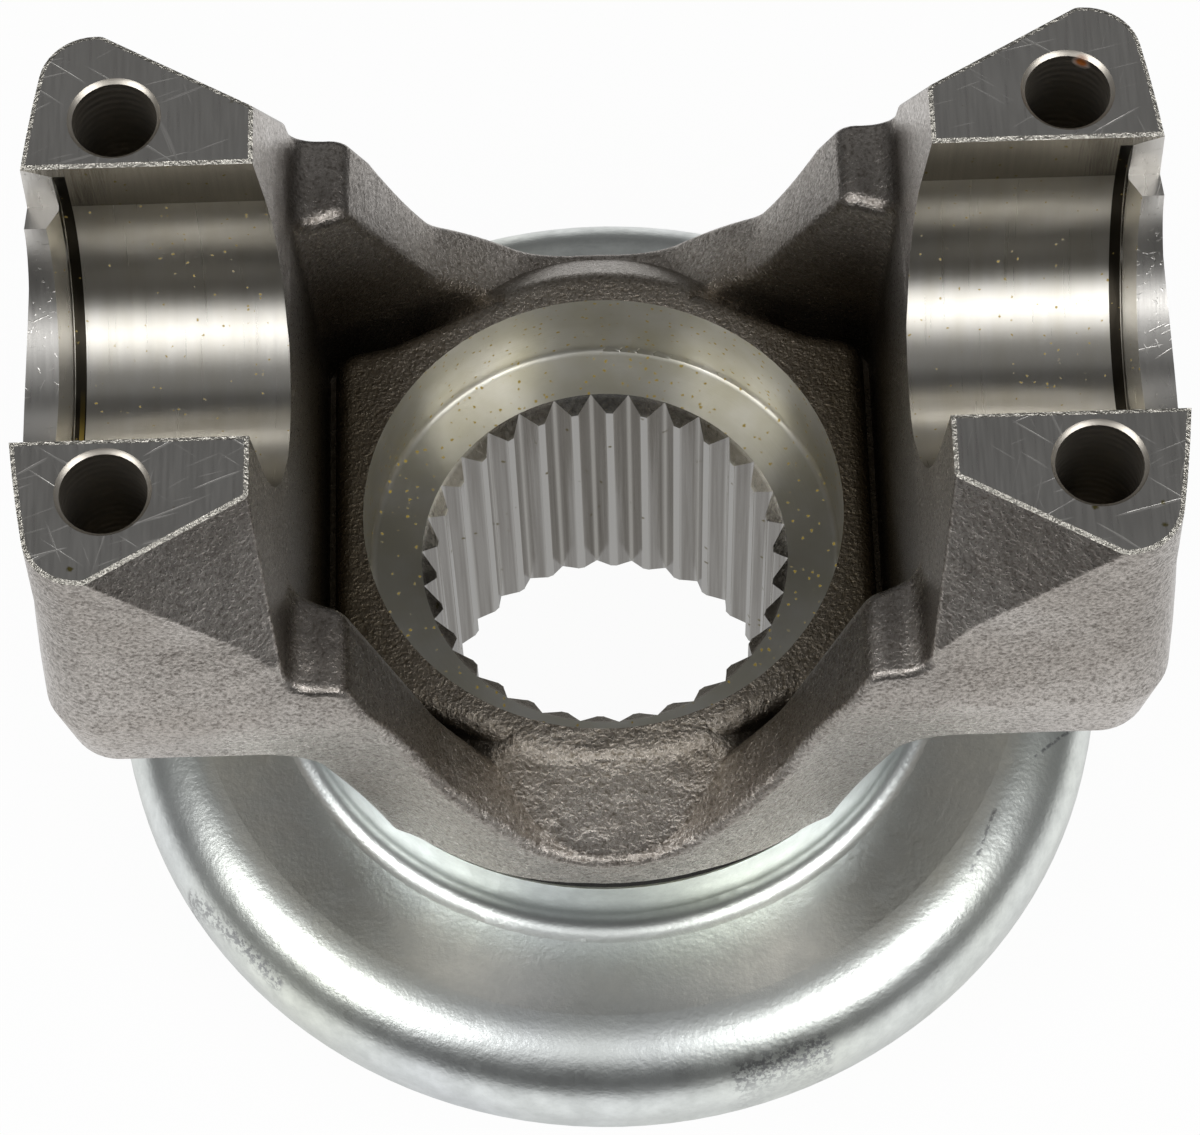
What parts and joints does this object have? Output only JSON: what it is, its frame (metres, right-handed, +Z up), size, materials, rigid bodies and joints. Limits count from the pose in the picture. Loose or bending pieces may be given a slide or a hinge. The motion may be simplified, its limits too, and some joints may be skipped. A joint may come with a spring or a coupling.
{
  "type": "pinion yoke",
  "caption": "Forged steel end yoke with a splined bore, two half-round bearing ears with tapped holes, and a pressed dust shield on its hub.",
  "frame": {"origin": "middle of the hub's lower end, which is the middle of the box's floor", "axes": "+X from ear to ear along the joint's axis, +Z up the bore towards the ears, -Y towards the camera"},
  "size_m": [0.1172, 0.1108, 0.1003],
  "materials": {
    "forged_steel": "dark shot-blasted forging with machined seats, faces and bore",
    "zinc_plated_steel": "pressed sheet with clear zinc plating"
  },
  "bodies": {
    "root": {"forged_yoke": "forged_steel", "dust_shield": "zinc_plated_steel"}
  },
  "joints": []
}
